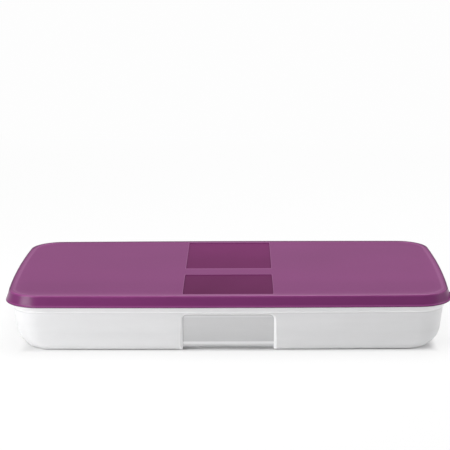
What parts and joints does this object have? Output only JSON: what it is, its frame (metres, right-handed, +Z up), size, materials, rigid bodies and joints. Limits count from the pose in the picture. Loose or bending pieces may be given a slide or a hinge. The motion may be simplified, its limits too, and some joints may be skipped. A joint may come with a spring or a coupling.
{
  "type": "freezer storage box",
  "caption": "Low translucent freezer box for milk bags with a press-on purple lid, inlaid lid panels, grip recesses and a pull tab",
  "frame": {"origin": "centre of the base, on its resting face", "axes": "+X along the long side towards the pull tab, +Y to the back, +Z up through the lid"},
  "size_m": [0.349, 0.178, 0.0446],
  "materials": {
    "frosted_plastic": "frosted",
    "lid_plastic": "satin",
    "inlay_plastic": "satin"
  },
  "bodies": {
    "tray": {"tray": "frosted_plastic"},
    "lid": {"lid": "lid_plastic", "front_inlay": "inlay_plastic", "rear_inlay": "inlay_plastic"}
  },
  "joints": [
    {"name": "lid_lift", "type": "slide", "parent": "tray", "child": "lid", "axis": [0, 0, 1], "range_m": [0, 0.06]}
  ]
}
